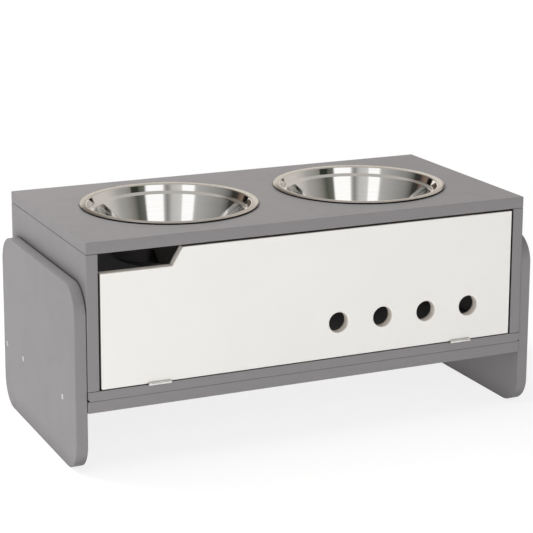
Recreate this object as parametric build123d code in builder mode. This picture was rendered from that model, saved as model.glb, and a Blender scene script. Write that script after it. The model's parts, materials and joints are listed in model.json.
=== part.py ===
from build123d import *
import os

# Elevated dog feeder: a board case with a flip-down storage door stands between two leg
# panels and carries two lift-out steel bowls in its top.
# The origin is the middle of the footprint on the floor. +X runs to the right of someone
# who faces the door, +Y runs to the back and +Z is up. Lengths are in millimetres.

os.makedirs("parts", exist_ok=True)

# ---------------------------------------------------------------- driving dimensions

# Case
case_width = 605.0             # over the two side panels, which is also between the legs
case_depth = 300.0
base_clearance = 76.0          # floor to the underside of the base board
opening_height = 170.0         # floor panel to top panel
base_thickness = 15.0
floor_thickness = 12.0
side_thickness = 15.0
top_thickness = 15.0
board_edge_radius = 1.2        # eased, painted edges of every grey board
floor_end_radius = 5.0         # lower end corners of the floor panel

# Legs
leg_thickness = 15.0
leg_height = 233.0
leg_setback = 1.5              # leg edges behind the case's front and back faces
leg_corner_radius = 36.0

# Back panel, slid into grooves
back_thickness = 5.0
back_inset = 10.0              # back faces of the case to the back panel
groove_depth = 5.0
groove_clearance = 0.25        # beside each face of the back panel
groove_end_clearance = 0.5     # beyond each edge of the back panel

# Door
door_thickness = 12.0
door_side_gap = 2.5
door_top_gap = 2.5
door_bottom_gap = 1.0
door_edge_radius = 1.0
notch_length = 92.5            # from the door's left edge, along the notch's floor
notch_drop = 22.5              # below the door's upper edge
notch_slant = 14.0             # how far the notch's slanted end leans to the right
notch_corner_radius = 2.0
hole_count = 4
hole_radius = 13.5
hole_pitch = 63.0
hole_row_end = 63.0            # door's right edge to the last hole's centre
hole_row_height = 45.5         # door's lower edge to the holes' centres
hole_edge_chamfer = 0.7

# Bowls, by the corners of the food side, down from the top of the rim
bowl_spacing = 274.0
bowl_sheet = 0.8
rim_radius = 115.0
opening_radius = 105.5
rim_round = 2.0
step_radius = 101.5
step_depth = 9.5
step_round = 2.5
ledge_radius = 97.0
ledge_depth = 11.5
ledge_round = 2.0
basin_radius = 81.0
basin_depth = 67.5
basin_round = 12.0
rim_edge_round = 0.3
cutout_clearance = 2.0         # round the bowl in the top panel

# Rubber ring that each rim rests on
ring_thickness = 1.7
ring_rim_setback = 1.0         # inside the rim's edge
ring_cutout_setback = 1.0      # outside the cut-out's edge

# Door hinges: small butt hinges, let into the floor panel and the door
hinge_length = 30.0
hinge_from_side = 92.0         # case side to the middle of the hinge
hinge_pin_ahead = 1.2          # pin's axis in front of the door's face
knuckle_count = 5
knuckle_gap = 0.2
barrel_radius = 2.0
barrel_clearance = 0.3
pin_radius = 0.8
pin_clearance = 0.05
leaf_thickness = 0.8
leaf_gap = 0.4                 # between the two leaves of a shut door
leaf_reach = 10.3              # behind the door's face
mortise_clearance = 0.2
hinge_screw_pitch = 18.0
hinge_screw_inset = 6.0        # behind the door's face

# Magnetic catch under the top panel, and its strike plate on the door
catch_length = 44.0
catch_depth = 15.0
catch_height = 15.0
catch_edge_radius = 1.0
catch_screw_pitch = 34.0
magnet_drop = 9.0              # top panel to the magnet's middle
magnet_length = 22.0
magnet_depth = 10.0
magnet_thickness = 5.0
pole_thickness = 1.2
pole_proud = 0.5               # pole plates in front of the catch's case
pocket_clearance = 0.1
strike_gap = 0.3               # pole plates to the strike plate of a shut door
strike_length = 28.0
strike_height = 11.0
strike_thickness = 1.0

# Cam fittings and dowels
cam_radius = 7.5
cam_thickness = 12.0
cam_drop = 24.0                # side panel's upper end to the cam's middle
cam_offset = 100.0             # each side of the middle of the depth
cam_clearance = 0.1
cam_slot_length = 9.0
cam_slot_width = 1.4
cam_slot_depth = 2.0
cam_cavity = 7.4
cam_throat = 4.6
bolt_head_radius = 3.2
bolt_head_height = 3.0
bolt_neck_radius = 2.0
bolt_shank_radius = 3.0
bolt_thread_length = 10.0
bolt_bore_radius = 4.0
dowel_radius = 4.0
dowel_length = 30.0
dowel_in_face = 10.0           # length in the board whose face it enters
dowel_chamfer = 0.8
top_dowel_offset = 60.0        # each side of the middle of the depth
leg_dowel_from_front = 100.0
leg_dowel_from_back = 50.0

# Wood screws: length, shank radius and head radius
leg_screw = (50.0, 2.0, 3.5)
side_screw = (25.0, 2.0, 3.8)
floor_screw = (38.0, 2.0, 3.8)
base_screw = (24.0, 1.75, 3.5)
hinge_screw = (10.0, 1.25, 2.1)
catch_screw = (24.0, 1.5, 2.8)
strike_screw = (9.0, 1.5, 2.8)
leg_screw_from_front = 53.0
leg_screws_from_back = (86.0, 15.0)
side_screw_offset = 90.0       # each side of the middle of the depth
side_screw_heights = (44.0, 104.0)      # above the floor panel
floor_screw_spacing = 100.0
base_screw_spacing = 200.0     # along the board
base_screw_offset = 90.0       # each side of the middle of the depth

screw_clearance = 0.05         # round each shank and head
bore_end_clearance = 0.5       # beyond each screw's, bolt's and dowel's end
countersink_angle = 90.0
tip_share = 1.5                # screw tip's length in shank radii
recess_share = 0.55            # half length of the cross recess in head radii
recess_width_share = 0.28      # width of the cross recess in head radii
recess_depth_share = 0.42      # depth of the cross recess in head radii

# ---------------------------------------------------------------- derived places

front = -case_depth / 2
back = case_depth / 2
case_side = case_width / 2
inner_side = case_side - side_thickness
leg_outer = case_side + leg_thickness
side_middle = case_side - side_thickness / 2

base_top = base_clearance + base_thickness
base_middle = base_clearance + base_thickness / 2
floor_top = base_top + floor_thickness
top_underside = floor_top + opening_height
case_top = top_underside + top_thickness

groove_back = back - back_inset + groove_clearance
groove_width = back_thickness + 2 * groove_clearance
back_panel_back = back - back_inset
back_overlap = groove_depth - groove_end_clearance

door_left = -inner_side + door_side_gap
door_right = inner_side - door_side_gap
door_bottom = floor_top + door_bottom_gap
door_top = top_underside - door_top_gap
door_back = front + door_thickness

bowl_places = (("left", -bowl_spacing / 2), ("right", bowl_spacing / 2))
cutout_radius = opening_radius + bowl_sheet + cutout_clearance
ring_outer_radius = rim_radius - ring_rim_setback
ring_inner_radius = cutout_radius + ring_cutout_setback
rim_top = case_top + ring_thickness + bowl_sheet

hinge_places = (("left", hinge_from_side - case_side), ("right", case_side - hinge_from_side))
pin_y = front - hinge_pin_ahead
pin_z = floor_top + door_bottom_gap / 2
relief_radius = barrel_radius + barrel_clearance
relief_length = hinge_length + 2 * barrel_clearance
mortise_length = hinge_length + 2 * mortise_clearance
mortise_reach = leaf_reach + mortise_clearance
mortise_depth = leaf_gap / 2 + leaf_thickness - door_bottom_gap / 2
knuckle_length = (hinge_length - (knuckle_count - 1) * knuckle_gap) / knuckle_count
leaf_inner = leaf_gap / 2
leaf_outer = leaf_inner + leaf_thickness
hinge_screw_xs = (-hinge_screw_pitch / 2, hinge_screw_pitch / 2)

pole_front = door_back + strike_thickness + strike_gap
catch_front = pole_front + pole_proud
catch_middle = catch_front + catch_depth / 2
magnet_z = top_underside - magnet_drop
pocket_height = magnet_thickness + 2 * pole_thickness + 2 * pocket_clearance
pocket_depth = magnet_depth + 2 * pocket_clearance
pole_depth = pole_proud + magnet_depth
catch_underside = top_underside - catch_height
catch_screw_xs = (-catch_screw_pitch / 2, catch_screw_pitch / 2)

cam_z = top_underside - cam_drop
cam_rows = (-cam_offset, cam_offset)
top_dowel_rows = (-top_dowel_offset, top_dowel_offset)
side_screw_rows = (-side_screw_offset, side_screw_offset)
floor_screw_rows = (-floor_screw_spacing, 0.0, floor_screw_spacing)
base_screw_places = [
    (x, y)
    for x in (-base_screw_spacing, 0.0, base_screw_spacing)
    for y in (-base_screw_offset, base_screw_offset)
]
leg_screw_rows = [front + leg_screw_from_front, *(back - y for y in leg_screws_from_back)]
leg_dowel_rows = (front + leg_dowel_from_front, back - leg_dowel_from_back)
sides = (("left", -1), ("right", 1))


def keep(builder, name):
    """Label a finished piece and write it."""
    builder.part.label = name
    export_step(builder.part, f"parts/{name}.step")


def wood_screw(size):
    """Countersunk screw: head's face at the origin, shank down -Z, cross recess."""
    length, shank_radius, head_radius = size
    tip_length = tip_share * shank_radius
    head_depth = head_radius - shank_radius
    recess_length = 2 * recess_share * head_radius
    recess_width = recess_width_share * head_radius
    with BuildPart() as screw:
        with BuildSketch(Plane.XZ):
            with BuildLine():
                Polyline(
                    (0, 0),
                    (head_radius, 0),
                    (shank_radius, -head_depth),
                    (shank_radius, tip_length - length),
                    (0, -length),
                    close=True,
                )
            make_face()
        revolve(axis=Axis.Z)
        with BuildSketch():
            Rectangle(recess_length, recess_width)
            Rectangle(recess_width, recess_length)
        extrude(amount=-recess_depth_share * head_radius, mode=Mode.SUBTRACT)
    return screw.part


def dowel():
    """Wooden dowel along Z, with its short length below the face of the board it enters."""
    with BuildPart() as pin:
        with BuildSketch(Plane.XY.offset(dowel_length - dowel_in_face)):
            Circle(dowel_radius)
        extrude(amount=-dowel_length)
        chamfer(pin.edges().filter_by(GeomType.CIRCLE), dowel_chamfer)
    return pin.part


def screw_entry(size):
    """Cut a countersunk screw's head and shank into the board that its head sits in."""
    length, shank_radius, head_radius = size
    CounterSinkHole(
        shank_radius + screw_clearance,
        head_radius + screw_clearance,
        length + bore_end_clearance,
        countersink_angle,
    )


def screw_pilot(size, depth_before):
    """Cut a screw's pilot bore into a board that it enters after depth_before."""
    length, shank_radius, _ = size
    Hole(shank_radius + screw_clearance, length - depth_before + bore_end_clearance)


def dowel_bore(length):
    """Cut the bore for the given length of a dowel."""
    Hole(dowel_radius + screw_clearance, length + bore_end_clearance)


def facing(x, y, z, direction):
    """Plane at a point, with its normal along direction."""
    return Plane(origin=(x, y, z), z_dir=direction)


UP = (0, 0, 1)
DOWN = (0, 0, -1)
TO_BACK = (0, 1, 0)


def end_faces(side, x, rows, outward):
    """Planes in a row at half the base board's height, at a face of a leg or of the board."""
    facing_x = side * outward
    return [facing(side * x, y, base_middle, (facing_x, 0, 0)) for y in rows]


def edge_faces(side, rows, z, direction):
    """Planes in a row along the middle of a side panel's thickness."""
    return [facing(side * side_middle, y, z, direction) for y in rows]


def side_screw_faces(side, x):
    """Planes of the screws from a side panel into its leg, facing into the case."""
    return [
        facing(side * x, y, floor_top + z, (-side, 0, 0))
        for y in side_screw_rows
        for z in side_screw_heights
    ]


def hinge_screw_faces(hinge_x, up):
    """Planes of the screws in a hinge leaf; up is 1 in the door and -1 in the floor panel."""
    y = front + hinge_screw_inset
    z = pin_z + up * leaf_inner
    return [facing(hinge_x + x, y, z, (0, 0, -up)) for x in hinge_screw_xs]


def base_screw_faces(z):
    """Planes of the screws that hold the base board under the floor panel."""
    return [facing(x, y, z, DOWN) for x, y in base_screw_places]


def catch_screw_faces(z):
    """Planes of the screws that hold the catch under the top panel."""
    return [facing(x, catch_middle, z, DOWN) for x in catch_screw_xs]


def back_groove(z):
    """Outline of the back panel's groove, hidden at both ends under the side panels."""
    with BuildSketch(Plane.XY.offset(z)) as groove:
        with Locations((0, groove_back)):
            Rectangle(
                2 * (inner_side + groove_depth),
                groove_width,
                align=(Align.CENTER, Align.MAX),
            )
    return groove.sketch


def hinge_mortise(hinge_x, z):
    """Outline of the mortise that a hinge leaf is let into."""
    with BuildSketch(Plane.XY.offset(z)) as mortise:
        with Locations((hinge_x, front)):
            Rectangle(mortise_length, mortise_reach, align=(Align.CENTER, Align.MIN))
    return mortise.sketch


def barrel_section(x, radius):
    """Circle round the hinge pins' axis, at x."""
    with BuildSketch(Plane.YZ.offset(x)) as section:
        with Locations((pin_y, pin_z)):
            Circle(radius)
    return section.sketch


strike_face = facing(0, door_back + strike_thickness, magnet_z, TO_BACK)

# ---------------------------------------------------------------- boards of the case

with BuildPart() as base_board:
    with BuildSketch(Plane.XY.offset(base_clearance)):
        Rectangle(case_width, case_depth)
    extrude(amount=base_thickness)
    fillet(base_board.edges(), board_edge_radius)
    with Locations(base_screw_faces(base_clearance)):
        screw_entry(base_screw)
    for _, side in sides:
        with Locations(end_faces(side, case_side, leg_screw_rows, outward=1)):
            screw_pilot(leg_screw, leg_thickness)
        with Locations(end_faces(side, case_side, leg_dowel_rows, outward=1)):
            dowel_bore(dowel_length - dowel_in_face)
keep(base_board, "base_board")

with BuildPart() as floor_panel:
    with BuildSketch(Plane.XY.offset(base_top)):
        Rectangle(case_width, case_depth)
    extrude(amount=floor_thickness)
    lower_ends = floor_panel.edges().filter_by(Axis.Y).group_by(Axis.Z)[0]
    fillet(lower_ends, floor_end_radius)
    fillet(floor_panel.faces().sort_by(Axis.Z)[-1].edges(), board_edge_radius)
    extrude(back_groove(floor_top), amount=-groove_depth, mode=Mode.SUBTRACT)
    for _, hinge_x in hinge_places:
        extrude(hinge_mortise(hinge_x, floor_top), amount=-mortise_depth, mode=Mode.SUBTRACT)
        relief = barrel_section(hinge_x, relief_radius)
        extrude(relief, amount=relief_length / 2, both=True, mode=Mode.SUBTRACT)
        with Locations(hinge_screw_faces(hinge_x, up=-1)):
            screw_entry(hinge_screw)
    for _, side in sides:
        with Locations(edge_faces(side, floor_screw_rows, base_top, DOWN)):
            screw_entry(floor_screw)
    with Locations(base_screw_faces(base_top)):
        screw_pilot(base_screw, base_thickness)
keep(floor_panel, "floor_panel")

with BuildPart() as top_panel:
    with BuildSketch(Plane.XY.offset(top_underside)):
        Rectangle(case_width, case_depth)
    extrude(amount=top_thickness)
    fillet(top_panel.edges(), board_edge_radius)
    for _, bowl_x in bowl_places:
        with BuildSketch(Plane.XY.offset(top_underside)):
            with Locations((bowl_x, 0)):
                Circle(cutout_radius)
        extrude(amount=top_thickness, mode=Mode.SUBTRACT)
    extrude(back_groove(top_underside), amount=groove_depth, mode=Mode.SUBTRACT)
    for _, side in sides:
        with Locations(edge_faces(side, cam_rows, top_underside, DOWN)):
            Hole(bolt_shank_radius + screw_clearance, bolt_thread_length + bore_end_clearance)
        with Locations(edge_faces(side, top_dowel_rows, top_underside, DOWN)):
            dowel_bore(dowel_in_face)
    with Locations(catch_screw_faces(top_underside)):
        screw_pilot(catch_screw, catch_height)
keep(top_panel, "top_panel")

for name, side in sides:
    with BuildPart() as side_panel:
        with BuildSketch(Plane.XY.offset(floor_top)):
            with Locations((side * side_middle, 0)):
                Rectangle(side_thickness, case_depth)
        extrude(amount=opening_height)
        fillet(side_panel.edges(), board_edge_radius)
        with BuildSketch(Plane.XY.offset(floor_top)):
            with Locations((side * (inner_side + groove_depth / 2), groove_back)):
                Rectangle(groove_depth, groove_width, align=(Align.CENTER, Align.MAX))
        extrude(amount=opening_height, mode=Mode.SUBTRACT)
        # Cam pockets from the inner face and bolt bores from the upper end
        cam_faces = [facing(side * inner_side, y, cam_z, (-side, 0, 0)) for y in cam_rows]
        with Locations(cam_faces):
            Hole(cam_radius + cam_clearance, cam_thickness + cam_clearance)
        with Locations(edge_faces(side, cam_rows, top_underside, UP)):
            Hole(bolt_bore_radius, cam_drop)
        with Locations(edge_faces(side, top_dowel_rows, top_underside, UP)):
            dowel_bore(dowel_length - dowel_in_face)
        with Locations(edge_faces(side, floor_screw_rows, floor_top, DOWN)):
            screw_pilot(floor_screw, floor_thickness)
        with Locations(side_screw_faces(side, inner_side)):
            screw_entry(side_screw)
    keep(side_panel, f"{name}_side_panel")

with BuildPart() as back_panel:
    with BuildSketch(Plane.XZ.offset(-back_panel_back)):
        with Locations((0, floor_top - back_overlap)):
            Rectangle(
                2 * (inner_side + back_overlap),
                opening_height + 2 * back_overlap,
                align=(Align.CENTER, Align.MIN),
            )
    extrude(amount=back_thickness)
keep(back_panel, "back_panel")

for name, side in sides:
    with BuildPart() as leg:
        with BuildSketch(Plane.YZ.offset(side * (case_side + leg_thickness / 2))):
            with Locations((0, leg_height / 2)):
                RectangleRounded(case_depth - 2 * leg_setback, leg_height, leg_corner_radius)
        extrude(amount=leg_thickness / 2, both=True)
        fillet(leg.faces().filter_by(Axis.X).edges(), board_edge_radius)
        with Locations(end_faces(side, leg_outer, leg_screw_rows, outward=1)):
            screw_entry(leg_screw)
        with Locations(end_faces(side, case_side, leg_dowel_rows, outward=-1)):
            dowel_bore(dowel_in_face)
        with Locations(side_screw_faces(side, case_side)):
            screw_pilot(side_screw, side_thickness)
    keep(leg, f"{name}_leg")

# ---------------------------------------------------------------- door

hole_xs = [door_right - hole_row_end - i * hole_pitch for i in range(hole_count)]

with BuildPart() as door_panel:
    with BuildSketch(Plane.XZ.offset(-door_back)) as door_outline:
        with BuildLine():
            Polyline(
                (door_left, door_bottom),
                (door_right, door_bottom),
                (door_right, door_top),
                (door_left + notch_length + notch_slant, door_top),
                (door_left + notch_length, door_top - notch_drop),
                (door_left, door_top - notch_drop),
                close=True,
            )
        make_face()
        notch_corner = door_outline.vertices().sort_by_distance(
            (door_left + notch_length, door_back, door_top - notch_drop)
        )[0]
        fillet(notch_corner, notch_corner_radius)
    extrude(amount=door_thickness)
    fillet(door_panel.edges(), door_edge_radius)
    with BuildSketch(Plane.XZ.offset(-door_back)):
        with Locations(*[(x, door_bottom + hole_row_height) for x in hole_xs]):
            Circle(hole_radius)
    extrude(amount=door_thickness, mode=Mode.SUBTRACT)
    hole_rims = door_panel.edges().filter_by(GeomType.CIRCLE).filter_by(
        lambda edge: abs(edge.radius - hole_radius) < hole_edge_chamfer / 10
    )
    chamfer(hole_rims, hole_edge_chamfer)
    for _, hinge_x in hinge_places:
        extrude(hinge_mortise(hinge_x, door_bottom), amount=mortise_depth, mode=Mode.SUBTRACT)
        relief = barrel_section(hinge_x, relief_radius)
        extrude(relief, amount=relief_length / 2, both=True, mode=Mode.SUBTRACT)
        with Locations(hinge_screw_faces(hinge_x, up=1)):
            screw_entry(hinge_screw)
    with Locations(strike_face):
        screw_entry(strike_screw)
keep(door_panel, "door_panel")

# ---------------------------------------------------------------- hinges


def hinge_leaf(hinge_x, up, knuckles):
    """One leaf: plate, its own knuckles on the pin's axis, bore and screw holes.

    up is 1 for the door's leaf and -1 for the floor panel's.
    """
    with BuildPart() as leaf:
        with BuildSketch(Plane.YZ.offset(hinge_x - hinge_length / 2)):
            with Locations((front + leaf_reach, pin_z + up * (leaf_inner + leaf_outer) / 2)):
                Rectangle(
                    leaf_reach + hinge_pin_ahead - relief_radius,
                    leaf_thickness,
                    align=(Align.MAX, Align.CENTER),
                )
        extrude(amount=hinge_length)
        for knuckle in knuckles:
            start = hinge_x - hinge_length / 2 + knuckle * (knuckle_length + knuckle_gap)
            with BuildSketch(Plane.YZ.offset(start)):
                with Locations((pin_y, pin_z)):
                    Circle(barrel_radius)
                with Locations((pin_y, pin_z + up * (leaf_inner + leaf_outer) / 2)):
                    Rectangle(
                        relief_radius + barrel_clearance,
                        leaf_thickness,
                        align=(Align.MIN, Align.CENTER),
                    )
            extrude(amount=knuckle_length)
        bore = barrel_section(hinge_x, pin_radius + pin_clearance)
        extrude(bore, amount=hinge_length / 2, both=True, mode=Mode.SUBTRACT)
        with Locations(hinge_screw_faces(hinge_x, up)):
            screw_entry(hinge_screw)
    return leaf


for name, hinge_x in hinge_places:
    frame_leaf = hinge_leaf(hinge_x, -1, range(0, knuckle_count, 2))
    keep(frame_leaf, f"{name}_hinge_frame_leaf")
    door_leaf = hinge_leaf(hinge_x, 1, range(1, knuckle_count, 2))
    keep(door_leaf, f"{name}_hinge_door_leaf")
    with BuildPart() as hinge_pin:
        extrude(barrel_section(hinge_x, pin_radius), amount=hinge_length / 2, both=True)
    keep(hinge_pin, f"{name}_hinge_pin")
    for leaf_name, up in (("frame", -1), ("door", 1)):
        with BuildPart() as hinge_screws:
            with Locations(hinge_screw_faces(hinge_x, up)):
                add(wood_screw(hinge_screw))
        keep(hinge_screws, f"{name}_hinge_{leaf_name}_screws")

# ---------------------------------------------------------------- bowls and rings

for name, bowl_x in bowl_places:
    with BuildPart() as bowl:
        section_plane = Plane(origin=(bowl_x, 0, rim_top), x_dir=(1, 0, 0), z_dir=(0, -1, 0))
        with BuildSketch(section_plane):
            with BuildLine():
                FilletPolyline(
                    (rim_radius, 0),
                    (opening_radius, 0),
                    (step_radius, -step_depth),
                    (ledge_radius, -ledge_depth),
                    (basin_radius, -basin_depth),
                    (0, -basin_depth),
                    radius=(rim_round, step_round, ledge_round, basin_round),
                )
                offset(amount=bowl_sheet, side=Side.LEFT)
            make_face()
        revolve(axis=Axis((bowl_x, 0, 0), (0, 0, 1)))
        rim_edges = bowl.edges().filter_by(GeomType.CIRCLE).filter_by(
            lambda edge: edge.radius > rim_radius - rim_edge_round
        )
        fillet(rim_edges, rim_edge_round)
    keep(bowl, f"{name}_bowl")
    with BuildPart() as bowl_ring:
        with BuildSketch(Plane.XY.offset(case_top)):
            with Locations((bowl_x, 0)):
                Circle(ring_outer_radius)
                Circle(ring_inner_radius, mode=Mode.SUBTRACT)
        extrude(amount=ring_thickness)
    keep(bowl_ring, f"{name}_bowl_ring")

# ---------------------------------------------------------------- magnetic catch

with BuildPart() as catch_case:
    with BuildSketch(Plane.XY.offset(catch_underside)):
        with Locations((0, catch_middle)):
            Rectangle(catch_length, catch_depth)
    extrude(amount=catch_height)
    fillet(catch_case.edges().filter_by(Axis.Z), catch_edge_radius)
    with BuildSketch(Plane.XZ.offset(-catch_front)):
        with Locations((0, magnet_z)):
            Rectangle(magnet_length + 2 * pocket_clearance, pocket_height)
    extrude(amount=-pocket_depth, mode=Mode.SUBTRACT)
    with Locations(catch_screw_faces(catch_underside)):
        screw_entry(catch_screw)
keep(catch_case, "catch_case")

with BuildPart() as catch_magnet:
    with BuildSketch(Plane.XZ.offset(-catch_front)):
        with Locations((0, magnet_z)):
            Rectangle(magnet_length, magnet_thickness)
    extrude(amount=-magnet_depth)
keep(catch_magnet, "catch_magnet")

with BuildPart() as catch_pole_plates:
    with BuildSketch(Plane.XZ.offset(-pole_front)):
        for up in (-1, 1):
            with Locations((0, magnet_z + up * (magnet_thickness + pole_thickness) / 2)):
                Rectangle(magnet_length, pole_thickness)
    extrude(amount=-pole_depth)
keep(catch_pole_plates, "catch_pole_plates")

with BuildPart() as catch_screws:
    with Locations(catch_screw_faces(catch_underside)):
        add(wood_screw(catch_screw))
keep(catch_screws, "catch_screws")

with BuildPart() as strike_plate:
    with BuildSketch(Plane.XZ.offset(-door_back)):
        with Locations((0, magnet_z)):
            Rectangle(strike_length, strike_height)
    extrude(amount=-strike_thickness)
    fillet(strike_plate.edges().filter_by(Axis.Y), strike_thickness)
    with Locations(strike_face):
        screw_entry(strike_screw)
keep(strike_plate, "strike_plate")

with BuildPart() as strike_plate_screw:
    with Locations(strike_face):
        add(wood_screw(strike_screw))
keep(strike_plate_screw, "strike_plate_screw")

# ---------------------------------------------------------------- screws of the boards

for name, side in sides:
    with BuildPart() as leg_screws:
        with Locations(end_faces(side, leg_outer, leg_screw_rows, outward=1)):
            add(wood_screw(leg_screw))
    keep(leg_screws, f"{name}_leg_screws")
    with BuildPart() as side_screws:
        with Locations(side_screw_faces(side, inner_side)):
            add(wood_screw(side_screw))
    keep(side_screws, f"{name}_side_screws")

with BuildPart() as floor_screws:
    for _, side in sides:
        with Locations(edge_faces(side, floor_screw_rows, base_top, DOWN)):
            add(wood_screw(floor_screw))
keep(floor_screws, "floor_screws")

with BuildPart() as base_screws:
    with Locations(base_screw_faces(base_clearance)):
        add(wood_screw(base_screw))
keep(base_screws, "base_screws")

# ---------------------------------------------------------------- dowels and cam fittings

with BuildPart() as leg_dowels:
    for _, side in sides:
        with Locations(end_faces(side, case_side, leg_dowel_rows, outward=-1)):
            add(dowel())
keep(leg_dowels, "leg_dowels")

with BuildPart() as top_dowels:
    for _, side in sides:
        with Locations(edge_faces(side, top_dowel_rows, top_underside, DOWN)):
            add(dowel())
keep(top_dowels, "top_dowels")

with BuildPart() as cam_bolt:
    with BuildSketch(Plane.XZ):
        with BuildLine():
            Polyline(
                (0, -bolt_head_height / 2),
                (bolt_head_radius, -bolt_head_height / 2),
                (bolt_head_radius, bolt_head_height / 2),
                (bolt_neck_radius, bolt_head_height / 2),
                (bolt_neck_radius, cam_radius + cam_clearance),
                (bolt_shank_radius, cam_radius + bore_end_clearance),
                (bolt_shank_radius, cam_drop + bolt_thread_length),
                (0, cam_drop + bolt_thread_length),
                close=True,
            )
        make_face()
    revolve(axis=Axis.Z)

with BuildPart() as cam_lock:
    # The cam's face lies in the XY plane and its middle on the bolt's head
    with BuildSketch():
        Circle(cam_radius)
    extrude(amount=-cam_thickness)
    with BuildSketch():
        Rectangle(cam_slot_length, cam_slot_width)
        Rectangle(cam_slot_width, cam_slot_length)
    extrude(amount=-cam_slot_depth, mode=Mode.SUBTRACT)
    with BuildSketch(Plane.XY.offset(-side_thickness / 2)):
        Rectangle(cam_cavity, cam_cavity)
    extrude(amount=cam_cavity / 2, both=True, mode=Mode.SUBTRACT)
    with BuildSketch(Plane.XY.offset(-side_thickness / 2)):
        Rectangle(cam_throat, cam_radius + cam_clearance, align=(Align.CENTER, Align.MIN))
    extrude(amount=cam_throat / 2, both=True, mode=Mode.SUBTRACT)

with BuildPart() as cam_bolts:
    with Locations(*[(side * side_middle, y, cam_z) for _, side in sides for y in cam_rows]):
        add(cam_bolt.part)
keep(cam_bolts, "cam_bolts")

with BuildPart() as cam_locks:
    with Locations(
        *[
            Plane(
                origin=(side * inner_side, y, cam_z),
                x_dir=(0, -side, 0),
                z_dir=(-side, 0, 0),
            )
            for _, side in sides
            for y in cam_rows
        ]
    ):
        add(cam_lock.part)
keep(cam_locks, "cam_locks")
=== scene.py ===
import json
import math

import bmesh
import bpy
from mathutils import Euler, Matrix, Vector


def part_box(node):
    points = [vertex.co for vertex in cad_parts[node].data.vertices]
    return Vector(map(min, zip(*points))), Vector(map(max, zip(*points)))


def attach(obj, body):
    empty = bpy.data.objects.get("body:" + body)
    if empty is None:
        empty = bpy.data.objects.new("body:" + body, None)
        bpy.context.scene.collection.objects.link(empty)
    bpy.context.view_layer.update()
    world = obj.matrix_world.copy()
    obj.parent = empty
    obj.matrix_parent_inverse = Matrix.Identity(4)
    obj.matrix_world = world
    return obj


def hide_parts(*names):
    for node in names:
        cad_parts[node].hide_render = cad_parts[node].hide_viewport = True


# Elevated dog feeder: painted boards, two polished steel bowls, a white flip-down door.
# Lengths are in metres and angles in degrees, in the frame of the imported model.

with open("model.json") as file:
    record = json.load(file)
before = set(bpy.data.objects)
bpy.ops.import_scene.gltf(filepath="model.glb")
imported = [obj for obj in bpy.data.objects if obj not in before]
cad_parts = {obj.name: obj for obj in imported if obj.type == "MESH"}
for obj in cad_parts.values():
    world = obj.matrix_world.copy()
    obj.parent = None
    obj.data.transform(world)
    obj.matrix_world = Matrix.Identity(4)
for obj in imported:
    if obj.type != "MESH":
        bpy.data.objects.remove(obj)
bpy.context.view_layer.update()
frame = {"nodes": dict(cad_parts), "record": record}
nodes = frame["nodes"]

# ---------------------------------------------------------------- sizes

# Food side of a bowl, as (radius, depth below the rim's top, radius of the bend there)
OPENING = (0.1055, 0.0, 0.002)
STEP = (0.1015, 0.0095, 0.0025)
LEDGE = (0.097, 0.0115, 0.002)
BASIN = (0.081, 0.0675, 0.012)
BOWL_SHEET = 0.0008
BOWL_STEPS = 256
BEND_SEGMENTS = 6

# Camera, from the lines of the case in the photograph
CAMERA_PLACE = (-0.9656, -2.0945, 0.8179)
CAMERA_YAW = 23.905
CAMERA_PITCH = 11.872
CAMERA_ROLL = 0.069
PHOTO_WIDTH = 533
FOCAL_PIXELS = 1797.2
SENSOR = 36.0
SHIFT_RIGHT = 0.0494
SHIFT_DOWN = 0.1993
NEAR_CLIP = 0.05
FAR_CLIP = 60.0

IN_DEGREES = 180 / math.pi


def tint(red, green, blue):
    """Linear colour of a display colour given from 0 to 255."""
    parts = []
    for value in (red, green, blue):
        value = value / 255
        parts.append(value / 12.92 if value <= 0.04045 else ((value + 0.055) / 1.055) ** 2.4)
    return (*parts, 1.0)


GREY_PAINT = tint(139, 136, 137)
WHITE_PAINT = tint(245, 243, 239)
CREAM_EDGE = tint(252, 244, 234)

# Painted shade in seams and gaps, and more widely in inner corners: how far it reaches, how dark it
# gets
SEAM_REACH = 0.005
SEAM_SHADE = 0.12
CORNER_REACH = 0.04
CORNER_SHADE = 0.5

# Part of the rubbed colour, and of the lost roughness, along worn edges
PAINT_RUBBED = 0.35
PAINT_POLISHED = 0.12

# Height of each surface's relief
PAINT_RELIEF = 0.00003
STEEL_RELIEF = 0.0000015
PLATING_RELIEF = 0.000002
CAST_RELIEF = 0.00001
RUBBER_RELIEF = 0.00002
PLASTIC_RELIEF = 0.000015
MAGNET_RELIEF = 0.00003
WOOD_RELIEF = 0.00004

# Lines left by turning a bowl: how many per radian along them, and per metre across
LINES_ALONG = 1.6
LINES_ACROSS = 2600.0
BASIN_LINES = 0.03             # how much of their relief is left in the polished basin

# ---------------------------------------------------------------- node trees


def feed(tree, socket, value):
    """Link an input to an output, or set it to a value."""
    if isinstance(value, bpy.types.NodeSocket):
        tree.links.new(value, socket)
    else:
        socket.default_value = value


def place(tree, kind, inputs=None, **settings):
    """Add a node, with its own settings, and link or set its inputs."""
    made = tree.nodes.new(kind)
    for key, value in settings.items():
        setattr(made, key, value)
    for key, value in (inputs or {}).items():
        feed(tree, made.inputs[key], value)
    return made


def math_node(tree, operation, first, second=0.0, clamp=False):
    """One step of arithmetic."""
    made = place(tree, "ShaderNodeMath", {0: first, 1: second}, operation=operation)
    made.use_clamp = clamp
    return made.outputs[0]


def ranged(tree, value, from_low, from_high, to_low=0.0, to_high=1.0, kind="SMOOTHSTEP"):
    """Value moved from one range to another."""
    made = place(
        tree,
        "ShaderNodeMapRange",
        {"Value": value, "From Min": from_low, "From Max": from_high,
         "To Min": to_low, "To Max": to_high},
        interpolation_type=kind,
    )
    return made.outputs["Result"]


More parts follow.
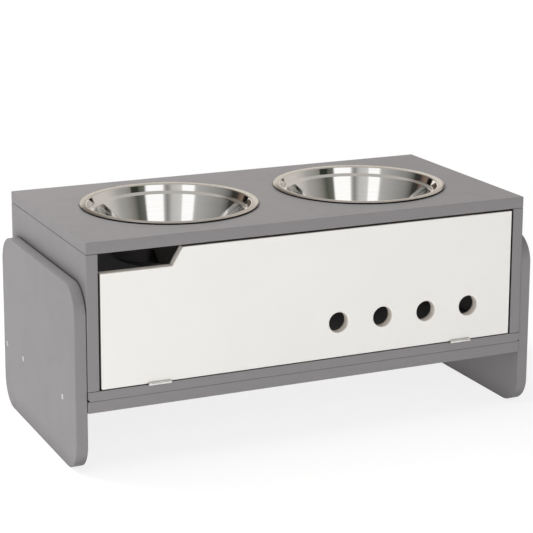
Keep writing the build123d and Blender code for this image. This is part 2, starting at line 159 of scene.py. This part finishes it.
def noise(tree, vector, scale, detail=3.0, roughness=0.5):
    """Plain noise from 0 to 1."""
    made = place(
        tree,
        "ShaderNodeTexNoise",
        {"Vector": vector, "Scale": scale, "Detail": detail, "Roughness": roughness},
    )
    return made.outputs["Fac"]


def stretched(tree, vector, scale):
    """Coordinates scaled by axis."""
    made = place(tree, "ShaderNodeMapping", {"Vector": vector, "Scale": scale})
    return made.outputs["Vector"]


def mixed(tree, factor, first, second, blend="MIX"):
    """Colour between two colours."""
    made = tree.nodes.new("ShaderNodeMix")
    made.data_type = "RGBA"
    made.blend_type = blend
    for index, value in ((0, factor), (6, first), (7, second)):
        feed(tree, made.inputs[index], value)
    return made.outputs[2]


def new_group(name, inputs, outputs):
    """Empty node group: its tree, its inputs and its outputs."""
    tree = bpy.data.node_groups.new(name, "ShaderNodeTree")
    for label, kind, default in inputs:
        socket = tree.interface.new_socket(label, in_out="INPUT", socket_type=kind)
        if default is not None:
            socket.default_value = default
    for label, kind in outputs:
        tree.interface.new_socket(label, in_out="OUTPUT", socket_type=kind)
    return tree, place(tree, "NodeGroupInput").outputs, place(tree, "NodeGroupOutput").inputs


def use_group(tree, group, inputs):
    """Place a node group in a tree."""
    made = tree.nodes.new("ShaderNodeGroup")
    made.node_tree = group
    for key, value in inputs.items():
        feed(tree, made.inputs[key], value)
    return made.outputs


def paint_skin_group():
    """Sprayed paint: clouded tone, orange peel and settled dust nibs."""
    tree, given, result = new_group(
        "paint_skin",
        [("Vector", "NodeSocketVector", None), ("Tone Amount", "NodeSocketFloat", 0.03)],
        [("Tone", "NodeSocketFloat"), ("Height", "NodeSocketFloat"), ("Gloss", "NodeSocketFloat")],
    )
    clouds = noise(tree, given["Vector"], 9.0, 4.0, 0.55)
    speckle = noise(tree, given["Vector"], 950.0, 2.0, 0.6)
    swing = math_node(tree, "SUBTRACT", clouds, 0.5)
    fine = math_node(tree, "MULTIPLY", math_node(tree, "SUBTRACT", speckle, 0.5), 0.45)
    swing = math_node(tree, "MULTIPLY", math_node(tree, "ADD", swing, fine), given["Tone Amount"])
    tree.links.new(math_node(tree, "ADD", swing, 1.0), result["Tone"])
    peel = noise(tree, given["Vector"], 620.0, 2.0, 0.45)
    nibs = place(tree, "ShaderNodeTexVoronoi", {"Vector": given["Vector"], "Scale": 70.0})
    nib_height = ranged(tree, nibs.outputs["Distance"], 0.0, 0.028, 1.0, 0.0)
    height = math_node(tree, "ADD", peel, math_node(tree, "MULTIPLY", nib_height, 0.5))
    tree.links.new(height, result["Height"])
    gloss = math_node(tree, "MULTIPLY", math_node(tree, "SUBTRACT", clouds, 0.5), 0.12)
    tree.links.new(gloss, result["Gloss"])
    return tree


def edge_mask_group():
    """1 along the rounded edges of a piece, broken up as rubbed edges are."""
    tree, given, result = new_group(
        "edge_mask",
        [("Vector", "NodeSocketVector", None), ("Radius", "NodeSocketFloat", 0.002)],
        [("Mask", "NodeSocketFloat")],
    )
    rounded = place(tree, "ShaderNodeBevel", {"Radius": given["Radius"]}, samples=4)
    flat = place(tree, "ShaderNodeNewGeometry")
    dot = place(
        tree,
        "ShaderNodeVectorMath",
        {0: rounded.outputs["Normal"], 1: flat.outputs["Normal"]},
        operation="DOT_PRODUCT",
    )
    turned = math_node(tree, "SUBTRACT", 1.0, dot.outputs["Value"])
    edge = ranged(tree, turned, 0.01, 0.12)
    rubbed = ranged(tree, noise(tree, given["Vector"], 60.0, 5.0, 0.65), 0.35, 0.75)
    tree.links.new(math_node(tree, "MULTIPLY", edge, rubbed), result["Mask"])
    return tree


def brushed_group():
    """Fine parallel scratches; the vector is long along the scratches and short across them."""
    tree, given, result = new_group(
        "brushed",
        [("Vector", "NodeSocketVector", None)],
        [("Height", "NodeSocketFloat"), ("Shade", "NodeSocketFloat")],
    )
    fine = noise(tree, given["Vector"], 1.0, 4.0, 0.7)
    coarse = noise(tree, given["Vector"], 0.27, 3.0, 0.6)
    tree.links.new(math_node(tree, "ADD", fine, coarse), result["Height"])
    tree.links.new(ranged(tree, fine, 0.3, 0.7), result["Shade"])
    return tree


def handling_group():
    """Faint smears and touch marks, as a value round 0."""
    tree, given, result = new_group(
        "handling",
        [("Vector", "NodeSocketVector", None)],
        [("Smear", "NodeSocketFloat")],
    )
    warp = place(
        tree, "ShaderNodeTexNoise", {"Vector": given["Vector"], "Scale": 14.0, "Distortion": 1.2}
    )
    smear = ranged(tree, warp.outputs["Fac"], 0.42, 0.7)
    tree.links.new(smear, result["Smear"])
    return tree


def painted_shade_group():
    """Painted shade in seams, gaps and corners, to multiply a base colour by: 1 in the open, less
    where it is tight.
    """
    tree, given, result = new_group(
        "painted_shade",
        [("Reach", "NodeSocketFloat", 0.006), ("Darkest", "NodeSocketFloat", 0.4)],
        [("Shade", "NodeSocketFloat")],
    )
    near = place(tree, "ShaderNodeAmbientOcclusion", {"Distance": given["Reach"]}, samples=8)
    lift = ranged(tree, near.outputs["AO"], 0.15, 0.9)
    span = math_node(tree, "SUBTRACT", 1.0, given["Darkest"])
    shade = math_node(tree, "ADD", math_node(tree, "MULTIPLY", lift, span), given["Darkest"])
    tree.links.new(shade, result["Shade"])
    return tree


PAINT_SKIN = paint_skin_group()
PAINTED_SHADE = painted_shade_group()
EDGE_MASK = edge_mask_group()
BRUSHED = brushed_group()
HANDLING = handling_group()


def start_material(name, roughness, metallic=0.0, specular=0.5):
    """New material: itself, its tree, its shader and its object coordinates."""
    made = bpy.data.materials.new(name)
    made.use_nodes = True
    tree = made.node_tree
    shader = tree.nodes["Principled BSDF"]
    shader.inputs["Roughness"].default_value = roughness
    shader.inputs["Metallic"].default_value = metallic
    shader.inputs["Specular IOR Level"].default_value = specular
    return made, tree, shader, place(tree, "ShaderNodeTexCoord").outputs


def bumped(tree, shader, height, distance, strength=1.0):
    """Feed a height into a shader's normal."""
    bump = place(
        tree, "ShaderNodeBump", {"Height": height, "Distance": distance, "Strength": strength}
    )
    tree.links.new(bump.outputs["Normal"], shader.inputs["Normal"])


def painted_board(name, colour, rubbed_colour, cut_edge=None, roughness=0.5, corner_shade=1.0):
    """Satin paint on board, a little thinner and smoother along the eased edges, with painted shade
    in seams and gaps, and in inner corners by corner_shade.

    With a cut edge's colour, the faces that don't look to the front or back show bare fibres.
    """
    made, tree, shader, coords = start_material(name, roughness, specular=0.35)
    where = coords["Object"]
    skin = use_group(tree, PAINT_SKIN, {"Vector": where, "Tone Amount": 0.05})
    worn = use_group(tree, EDGE_MASK, {"Vector": where, "Radius": 0.0022})["Mask"]
    smear = use_group(tree, HANDLING, {"Vector": where})["Smear"]
    base = mixed(tree, math_node(tree, "MULTIPLY", worn, PAINT_RUBBED), colour, rubbed_colour)
    height = skin["Height"]
    if cut_edge:
        normal = place(tree, "ShaderNodeSeparateXYZ", {"Vector": coords["Normal"]})
        front = math_node(tree, "ABSOLUTE", normal.outputs["Y"])
        cut = ranged(tree, front, 0.55, 0.8, 1.0, 0.0)
        fibres = noise(tree, stretched(tree, where, (300.0, 2600.0, 300.0)), 1.0, 4.0, 0.7)
        fibre_tone = mixed(
            tree, ranged(tree, fibres, 0.3, 0.75), cut_edge, tuple(0.93 * c for c in cut_edge)
        )
        base = mixed(tree, cut, base, fibre_tone)
        height = math_node(tree, "ADD", height, math_node(tree, "MULTIPLY", cut, fibres))
    # Painted shade: the colour is darkened in seams and gaps, and in inner corners by corner_shade,
    # where shade falls
    seam = use_group(tree, PAINTED_SHADE, {"Reach": SEAM_REACH, "Darkest": SEAM_SHADE})["Shade"]
    corner = use_group(tree, PAINTED_SHADE, {"Reach": CORNER_REACH, "Darkest": corner_shade})["Shade"]
    shade = math_node(tree, "MULTIPLY", skin["Tone"], math_node(tree, "MULTIPLY", seam, corner))
    toned = mixed(tree, 1.0, base, shade, "MULTIPLY")
    tree.links.new(toned, shader.inputs["Base Color"])
    rough = math_node(tree, "ADD", skin["Gloss"], roughness)
    rough = math_node(tree, "SUBTRACT", rough, math_node(tree, "MULTIPLY", worn, PAINT_POLISHED))
    rough = math_node(tree, "ADD", rough, math_node(tree, "MULTIPLY", smear, 0.05), clamp=True)
    tree.links.new(rough, shader.inputs["Roughness"])
    bumped(tree, shader, height, PAINT_RELIEF)
    return made


def polished_steel():
    """Mirror-polished basin and underside, with a finely turned rim, by place on the bowl.

    Both bowls share one finish: the distance to the middle of the case is taken for both.
    """
    made, tree, shader, coords = start_material("bowl_steel", 0.08, metallic=1.0)
    low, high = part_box("right_bowl")
    middle = (low.x + high.x) / 2
    rim_top = high.z
    parts = place(tree, "ShaderNodeSeparateXYZ", {"Vector": coords["Object"]}).outputs
    across = math_node(tree, "SUBTRACT", math_node(tree, "ABSOLUTE", parts["X"]), middle)
    flat = place(tree, "ShaderNodeCombineXYZ", {"X": across, "Y": parts["Y"]}).outputs["Vector"]
    radius = place(tree, "ShaderNodeVectorMath", {0: flat}, operation="LENGTH").outputs["Value"]
    angle = math_node(tree, "ARCTAN2", parts["Y"], across)
    on_rim = ranged(tree, radius, OPENING[0] - 0.0004, OPENING[0] + 0.0008)
    near_top = ranged(tree, parts["Z"], rim_top - 0.0015, rim_top - 0.0006)
    rim = math_node(tree, "MULTIPLY", on_rim, near_top)
    turned = place(
        tree,
        "ShaderNodeCombineXYZ",
        {"X": math_node(tree, "MULTIPLY", angle, LINES_ALONG),
         "Y": math_node(tree, "MULTIPLY", radius, LINES_ACROSS),
         "Z": math_node(tree, "MULTIPLY", parts["Z"], LINES_ACROSS)},
    ).outputs["Vector"]
    lines = use_group(tree, BRUSHED, {"Vector": turned})
    smear = use_group(tree, HANDLING, {"Vector": coords["Object"]})["Smear"]
    bright = mixed(tree, rim, tint(230, 229, 227), tint(214, 209, 202))
    shade = mixed(tree, lines["Shade"], tint(244, 244, 244), tint(255, 255, 255))
    tree.links.new(mixed(tree, 1.0, bright, shade, "MULTIPLY"), shader.inputs["Base Color"])
    rough = math_node(tree, "ADD", math_node(tree, "MULTIPLY", rim, 0.22), 0.045)
    rough = math_node(tree, "ADD", rough, math_node(tree, "MULTIPLY", smear, 0.02))
    rough = math_node(tree, "ADD", rough, math_node(tree, "MULTIPLY", lines["Shade"], 0.02))
    tree.links.new(rough, shader.inputs["Roughness"])
    depth = ranged(tree, rim, 0.0, 1.0, BASIN_LINES, 1.0, kind="LINEAR")
    bumped(tree, shader, math_node(tree, "MULTIPLY", lines["Height"], depth), STEEL_RELIEF)
    return made


def plated_metal(name, colour, along, roughness, relief=PLATING_RELIEF):
    """Thin bright plating over metal with fine scratches along one direction."""
    made, tree, shader, coords = start_material(name, roughness, metallic=1.0)
    where = coords["Object"]
    lines = use_group(tree, BRUSHED, {"Vector": stretched(tree, where, along)})
    clouds = noise(tree, where, 160.0, 4.0, 0.6)
    worn = use_group(tree, EDGE_MASK, {"Vector": where, "Radius": 0.0004})["Mask"]
    base = mixed(tree, ranged(tree, clouds, 0.3, 0.7), colour, tuple(0.82 * c for c in colour))
    base = mixed(tree, math_node(tree, "MULTIPLY", worn, 0.6), base, tint(235, 235, 233))
    tree.links.new(base, shader.inputs["Base Color"])
    rough = math_node(tree, "ADD", math_node(tree, "MULTIPLY", lines["Shade"], 0.1), roughness)
    rough = math_node(tree, "ADD", rough, math_node(tree, "MULTIPLY", clouds, 0.08))
    tree.links.new(rough, shader.inputs["Roughness"])
    bumped(tree, shader, lines["Height"], relief)
    return made


def soft_rubber():
    """Matt black rubber with a fine moulded grain and a little chalky bloom."""
    made, tree, shader, coords = start_material("ring_rubber", 0.75, specular=0.3)
    where = coords["Object"]
    bloom = noise(tree, where, 45.0, 5.0, 0.7)
    grain = noise(tree, where, 2200.0, 2.0, 0.5)
    base = mixed(tree, ranged(tree, bloom, 0.45, 0.8), tint(12, 12, 13), tint(26, 26, 27))
    tree.links.new(base, shader.inputs["Base Color"])
    rough = math_node(tree, "ADD", math_node(tree, "MULTIPLY", bloom, 0.2), 0.6)
    tree.links.new(rough, shader.inputs["Roughness"])
    bumped(tree, shader, grain, RUBBER_RELIEF)
    return made


def moulded_plastic():
    """Grey moulded plastic with a spark-eroded grain."""
    made, tree, shader, coords = start_material("catch_plastic", 0.5)
    where = coords["Object"]
    grain = noise(tree, where, 3200.0, 2.0, 0.6)
    flow = noise(tree, where, 80.0, 3.0, 0.5)
    worn = use_group(tree, EDGE_MASK, {"Vector": where, "Radius": 0.0006})["Mask"]
    base = mixed(tree, ranged(tree, flow, 0.3, 0.7), tint(196, 195, 192), tint(186, 185, 182))
    base = mixed(tree, math_node(tree, "MULTIPLY", worn, 0.4), base, tint(218, 217, 214))
    tree.links.new(base, shader.inputs["Base Color"])
    rough = math_node(tree, "ADD", math_node(tree, "MULTIPLY", grain, 0.2), 0.4)
    tree.links.new(rough, shader.inputs["Roughness"])
    bumped(tree, shader, grain, PLASTIC_RELIEF)
    return made


def ferrite():
    """Pressed and sintered magnet: dark, grainy, with chipped edges."""
    made, tree, shader, coords = start_material("magnet", 0.6)
    where = coords["Object"]
    grain = noise(tree, where, 1800.0, 4.0, 0.7)
    worn = use_group(tree, EDGE_MASK, {"Vector": where, "Radius": 0.0005})["Mask"]
    base = mixed(tree, ranged(tree, grain, 0.35, 0.7), tint(48, 48, 50), tint(70, 70, 72))
    base = mixed(tree, worn, base, tint(96, 95, 95))
    tree.links.new(base, shader.inputs["Base Color"])
    tree.links.new(ranged(tree, grain, 0.2, 0.8, 0.45, 0.75), shader.inputs["Roughness"])
    bumped(tree, shader, grain, MAGNET_RELIEF)
    return made


def beech():
    """Bare beech with its short dark rays along the grain."""
    made, tree, shader, coords = start_material("dowel_wood", 0.65, specular=0.3)
    where = coords["Object"]
    rings = noise(tree, stretched(tree, where, (60.0, 500.0, 500.0)), 1.0, 3.0, 0.6)
    drawn_out = stretched(tree, where, (350.0, 1400.0, 1400.0))
    rays = place(tree, "ShaderNodeTexVoronoi", {"Vector": drawn_out, "Scale": 1.0})
    fleck = ranged(tree, rays.outputs["Distance"], 0.05, 0.3, 1.0, 0.0)
    base = mixed(tree, ranged(tree, rings, 0.3, 0.7), tint(214, 178, 132), tint(190, 148, 100))
    base = mixed(tree, math_node(tree, "MULTIPLY", fleck, 0.5), base, tint(150, 104, 66))
    tree.links.new(base, shader.inputs["Base Color"])
    tree.links.new(ranged(tree, rings, 0.2, 0.8, 0.55, 0.75), shader.inputs["Roughness"])
    bumped(tree, shader, math_node(tree, "ADD", rings, fleck), WOOD_RELIEF)
    return made


# How closely scratches lie: along the hinges and plates, or the same every way
LENGTHWISE = (120.0, 2400.0, 2400.0)
EVERY_WAY = (900.0, 900.0, 900.0)
CAST = (700.0, 700.0, 700.0)

FINISHES = {
    "grey_board": painted_board(
        "grey_board", GREY_PAINT, tint(160, 158, 158), corner_shade=CORNER_SHADE
    ),
    "grey_back": painted_board("grey_back", tint(137, 135, 135), tint(150, 148, 148)),
    "white_board": painted_board(
        "white_board", WHITE_PAINT, tint(250, 249, 246), CREAM_EDGE, roughness=0.42
    ),
    "bowl_steel": polished_steel(),
    "ring_rubber": soft_rubber(),
    "bright_screw": plated_metal("bright_screw", tint(225, 226, 228), EVERY_WAY, 0.2),
    "hinge_nickel": plated_metal("hinge_nickel", tint(248, 247, 243), LENGTHWISE, 0.3),
    "cam_metal": plated_metal("cam_metal", tint(180, 180, 182), CAST, 0.4, CAST_RELIEF),
    "plate_steel": plated_metal("plate_steel", tint(200, 201, 204), LENGTHWISE, 0.3),
    "catch_plastic": moulded_plastic(),
    "magnet": ferrite(),
    "dowel_wood": beech(),
}
SLOTS = {part["node"]: part["material_slot"] for part in frame["record"]["subparts"]}


def give_finish(piece, slot_name):
    """Put one finish on a whole piece."""
    piece.data.materials.clear()
    piece.data.materials.append(FINISHES[slot_name])


for node_name, node_object in nodes.items():
    give_finish(node_object, SLOTS[node_name])

# ---------------------------------------------------------------- bowls


def new_piece(name, mesh_work, smooth=True):
    """Object of a finished bmesh, at the origin."""
    mesh = bpy.data.meshes.new(name)
    mesh_work.to_mesh(mesh)
    mesh_work.free()
    mesh.polygons.foreach_set("use_smooth", [smooth] * len(mesh.polygons))
    piece = bpy.data.objects.new(name, mesh)
    bpy.context.scene.collection.objects.link(piece)
    return piece


def bend_length(corners, index):
    """Distance from a corner of the section to where its bend begins."""
    before, here, after = (Vector(corners[i][:2]) for i in (index - 1, index, index + 1))
    turn = (here - before).angle(after - here)
    return corners[index][2] * math.tan(turn / 2)


def bowl(node_name):
    """Spun and drawn bowl in place of a node: flat rim, short upper wall, ledge, deep basin."""
    low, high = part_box(node_name)
    middle = ((low.x + high.x) / 2, (low.y + high.y) / 2, high.z)
    corners = [((high.x - low.x) / 2, 0.0, 0.0), OPENING, STEP, LEDGE, BASIN, (0.0, BASIN[1], 0.0)]
    work = bmesh.new()
    points = [work.verts.new((radius, 0.0, -depth)) for radius, depth, _ in corners]
    for first, second in zip(points, points[1:]):
        work.edges.new((first, second))
    for index in range(1, len(corners) - 1):
        bmesh.ops.bevel(
            work,
            geom=[points[index]],
            offset=bend_length(corners, index),
            offset_type="OFFSET",
            segments=BEND_SEGMENTS,
            profile=0.5,
            affect="VERTICES",
            material=-1,
        )
    bmesh.ops.spin(
        work,
        geom=work.verts[:] + work.edges[:],
        cent=(0, 0, 0),
        axis=(0, 0, 1),
        angle=math.tau,
        steps=BOWL_STEPS,
        use_merge=True,
    )
    bmesh.ops.remove_doubles(work, verts=work.verts[:], dist=0.00001)
    bmesh.ops.recalc_face_normals(work, faces=work.faces[:])
    bmesh.ops.solidify(work, geom=work.faces[:], thickness=BOWL_SHEET)
    bmesh.ops.transform(work, matrix=Matrix.Translation(middle), verts=work.verts[:])
    piece = new_piece(node_name + "_spun", work)
    give_finish(piece, SLOTS[node_name])
    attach(piece, node_name + "_body")
    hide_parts(node_name)
    return piece


for bowl_name in ("left_bowl", "right_bowl"):
    bowl(bowl_name)

# ---------------------------------------------------------------- studio

WHITE = (1.0, 1.0, 1.0, 1.0)
FLOOR_RADIUS = 9.0
FLOOR_PAINT = tint(243, 243, 243)
WORLD_LIGHT = 0.24
FLOOR_LIGHT = 0.33             # even light from the floor itself, as from a light table
SHADOW_KEPT = 0.3              # how much of the shadow the floor shows
SHADOW_REACH = (0.75, 1.5)     # where the floor's shadow fades out to the plain white
DOME_RADIUS = 8.0
DOME_LIGHT = 1.3
DOME_TOP = (40.0, 50.0)        # heights in degrees over which the ring gives way to the ceiling
REAR_AZIMUTH = 162.0           # middle of the low rear wall, as an azimuth from the front
REAR_HEIGHT = (13.0, 17.0)     # its top, which the bowls' rims show
REAR_HALF = (25.0, 30.0)       # its half width, beyond which lies shade
REAR_SHADE_END = (40.0, 46.0)  # where that shade ends

# What polished metal shows round the object: azimuth from the front towards +X, colour there
RING = (
    (-180, tint(116, 112, 106)),
    (-165, tint(110, 104, 98)),
    (-152, tint(122, 104, 92)),
    (-145, tint(98, 84, 76)),
    (-140, tint(52, 50, 47)),
    (-130, tint(54, 54, 50)),
    (-124, tint(98, 98, 96)),
    (-113, tint(128, 128, 126)),
    (-100, tint(142, 141, 139)),
    (-68, tint(168, 167, 165)),
    (-65, tint(190, 190, 188)),
    (-63, tint(255, 255, 255)),
    (-45, tint(255, 255, 255)),
    (-43, tint(198, 197, 195)),
    (-28, tint(184, 183, 181)),
    (-20, tint(128, 127, 125)),
    (-15, tint(168, 167, 165)),
    (-12, tint(255, 255, 255)),
    (15, tint(255, 255, 255)),
    (18, tint(100, 101, 95)),
    (30, tint(78, 80, 72)),
    (38, tint(120, 118, 112)),
    (50, tint(145, 143, 138)),
    (64, tint(158, 157, 154)),
    (76, tint(182, 178, 174)),
    (90, tint(195, 190, 185)),
    (140, tint(192, 187, 181)),
    (160, tint(160, 156, 150)),
    (180, tint(116, 112, 106)),
)
DARK_BAND = (28.0, 41.0)       # azimuths between which the ring is darker, above these heights
DARK_BAND_HEIGHT = (25.0, 28.0)
DARK_BAND_BLUR = 1.0
DARK_BAND_TONE = tint(48, 51, 43)
CEILING = tint(176, 172, 168)
REAR_WALL = tint(240, 234, 226)
REAR_SHADE = tint(18, 17, 15)


def plain_emission(name, strength):
    """New material of an emission only: itself, its tree and the emission."""
    made = bpy.data.materials.new(name)
    made.use_nodes = True
    tree = made.node_tree
    tree.nodes.clear()
    glow = place(tree, "ShaderNodeEmission", {"Strength": strength})
    place(tree, "ShaderNodeOutputMaterial", {"Surface": glow.outputs[0]})
    made.cycles.emission_sampling = "NONE"
    return made, tree, glow


def seen_directly(tree):
    """1 for rays that look at the background: from the camera, a mirror or glass."""
    path = place(tree, "ShaderNodeLightPath").outputs
    seen = math_node(tree, "MAXIMUM", path["Is Camera Ray"], path["Is Glossy Ray"])
    return math_node(tree, "MAXIMUM", seen, path["Is Transmission Ray"])


def studio_world():
    """Soft even light, with a white background behind the object."""
    world = bpy.data.worlds.new("studio")
    bpy.context.scene.world = world
    world.use_nodes = True
    tree = world.node_tree
    tree.nodes.clear()
    light = place(tree, "ShaderNodeBackground", {"Color": WHITE, "Strength": WORLD_LIGHT})
    white = place(tree, "ShaderNodeBackground", {"Color": WHITE, "Strength": 1.0})
    both = place(
        tree,
        "ShaderNodeMixShader",
        {0: seen_directly(tree), 1: light.outputs[0], 2: white.outputs[0]},
    )
    place(tree, "ShaderNodeOutputWorld", {"Surface": both.outputs[0]})


def studio_floor():
    """White glowing floor that keeps a soft shadow and fades into the white behind."""
    work = bmesh.new()
    bmesh.ops.create_circle(work, cap_ends=True, segments=96, radius=FLOOR_RADIUS)
    floor = new_piece("floor", work, smooth=False)
    made = bpy.data.materials.new("floor_paint")
    made.use_nodes = True
    tree = made.node_tree
    tree.nodes.clear()
    matt = place(tree, "ShaderNodeBsdfDiffuse", {"Color": FLOOR_PAINT})
    glow = place(tree, "ShaderNodeEmission", {"Color": WHITE, "Strength": FLOOR_LIGHT})
    table = place(tree, "ShaderNodeAddShader", {0: matt.outputs[0], 1: glow.outputs[0]})
    white = place(tree, "ShaderNodeEmission", {"Color": WHITE, "Strength": 1.0})
    where = place(tree, "ShaderNodeTexCoord").outputs["Object"]
    away = place(tree, "ShaderNodeVectorMath", {0: where}, operation="LENGTH").outputs["Value"]
    faded = ranged(tree, away, *SHADOW_REACH, 1.0 - SHADOW_KEPT, 1.0)
    factor = math_node(tree, "MULTIPLY", faded, seen_directly(tree))
    both = place(
        tree, "ShaderNodeMixShader", {0: factor, 1: table.outputs[0], 2: white.outputs[0]}
    )
    place(tree, "ShaderNodeOutputMaterial", {"Surface": both.outputs[0]})
    floor.data.materials.append(made)


def studio_dome():
    """Wide dome that only reflections show: upright bands, a plain ceiling, a pale rear wall."""
    work = bmesh.new()
    bmesh.ops.create_uvsphere(work, u_segments=96, v_segments=48, radius=DOME_RADIUS)
    dome = new_piece("studio_dome", work)
    made, tree, glow = plain_emission("dome_glow", DOME_LIGHT)
    where = place(tree, "ShaderNodeTexCoord").outputs["Object"]
    parts = place(tree, "ShaderNodeSeparateXYZ", {"Vector": where}).outputs
    front = math_node(tree, "MULTIPLY", parts["Y"], -1.0)
    turn = math_node(tree, "ARCTAN2", parts["X"], front)
    azimuth = math_node(tree, "MULTIPLY", turn, IN_DEGREES)
    ramp = place(tree, "ShaderNodeValToRGB", {0: ranged(tree, azimuth, -180, 180, kind="LINEAR")})
    stops = ramp.color_ramp.elements
    for index, (at, colour) in enumerate(RING):
        stop = stops[index] if index < 2 else stops.new(1.0)
        stop.position = (at + 180) / 360
        stop.color = colour
    height = math_node(tree, "ARCSINE", math_node(tree, "DIVIDE", parts["Z"], DOME_RADIUS))
    height = math_node(tree, "MULTIPLY", height, IN_DEGREES)
    begin, end = DARK_BAND
    blur = DARK_BAND_BLUR
    band = math_node(
        tree,
        "MULTIPLY",
        ranged(tree, azimuth, begin - blur, begin + blur),
        ranged(tree, azimuth, end - blur, end + blur, 1.0, 0.0),
    )
    band = math_node(tree, "MULTIPLY", band, ranged(tree, height, *DARK_BAND_HEIGHT))
    shown = mixed(tree, band, ramp.outputs["Color"], DARK_BAND_TONE)
    rear = math.radians(REAR_AZIMUTH)
    facing = place(
        tree,
        "ShaderNodeVectorMath",
        {0: where, 1: (math.sin(rear), -math.cos(rear), 0.0)},
        operation="DOT_PRODUCT",
    )
    away = math_node(tree, "DIVIDE", facing.outputs["Value"], DOME_RADIUS)
    away = math_node(tree, "MULTIPLY", math_node(tree, "ARCCOSINE", away), IN_DEGREES)
    low = mixed(tree, ranged(tree, away, *REAR_HALF), REAR_WALL, REAR_SHADE)
    low_part = math_node(
        tree,
        "MULTIPLY",
        ranged(tree, away, *REAR_SHADE_END, 1.0, 0.0),
        ranged(tree, height, *REAR_HEIGHT, 1.0, 0.0),
    )
    shown = mixed(tree, low_part, shown, low)
    shown = mixed(tree, ranged(tree, height, *DOME_TOP), shown, CEILING)
    tree.links.new(shown, glow.inputs["Color"])
    dome.data.materials.append(made)
    dome.visible_camera = False
    dome.visible_diffuse = False
    dome.visible_shadow = False
    dome.visible_transmission = False


def softbox(name, azimuth, distance, height, size, radiance, aim=(0.0, 0.0, 0.2)):
    """Rectangular lamp turned to a point. Azimuth runs from the front towards +X."""
    lamp = bpy.data.lights.new(name, "AREA")
    lamp.shape = "RECTANGLE"
    lamp.size, lamp.size_y = size
    lamp.energy = radiance * size[0] * size[1] * math.pi
    box = bpy.data.objects.new(name, lamp)
    angle = math.radians(azimuth)
    spot = Vector((distance * math.sin(angle), -distance * math.cos(angle), height))
    box.location = spot
    box.rotation_euler = (Vector(aim) - spot).to_track_quat("-Z", "Y").to_euler()
    box.visible_camera = False
    box.visible_glossy = False
    bpy.context.scene.collection.objects.link(box)


# Name, azimuth, distance, height, width and height of the lamp, radiance, and what it looks at
LAMPS = (
    ("lamp_left_behind", -130, 1.0, 1.5, (0.6, 0.6), 13.5),
    ("lamp_left_low", -75, 1.5, 0.12, (0.5, 0.5), 3.2),
    ("lamp_front", -10, 3.0, 1.4, (1.6, 1.6), 2.85),
    ("lamp_right", 50, 3.0, 1.4, (1.6, 1.6), 0.65),
    ("lamp_above", -80, 0.9, 2.8, (2.0, 2.0), 2.0),
    ("fill_in_storage", 0, 0.13, 0.17, (0.5, 0.1), 0.35, (0.0, 1.0, 0.17)),
)

studio_world()
studio_floor()
studio_dome()
for lamp in LAMPS:
    softbox(*lamp)

# ---------------------------------------------------------------- camera

camera = bpy.data.cameras.new("camera")
camera.sensor_width = SENSOR
camera.lens = FOCAL_PIXELS * SENSOR / PHOTO_WIDTH
camera.shift_x = SHIFT_RIGHT
camera.shift_y = -SHIFT_DOWN
camera.clip_start = NEAR_CLIP
camera.clip_end = FAR_CLIP
viewer = bpy.data.objects.new("camera", camera)
viewer.location = CAMERA_PLACE
aimed = Euler((math.radians(90 - CAMERA_PITCH), 0.0, math.radians(-CAMERA_YAW))).to_matrix()
viewer.rotation_euler = (aimed @ Matrix.Rotation(math.radians(CAMERA_ROLL), 3, "Z")).to_euler()
bpy.context.scene.collection.objects.link(viewer)
bpy.context.scene.camera = viewer
bpy.context.scene.view_settings.view_transform = "Standard"
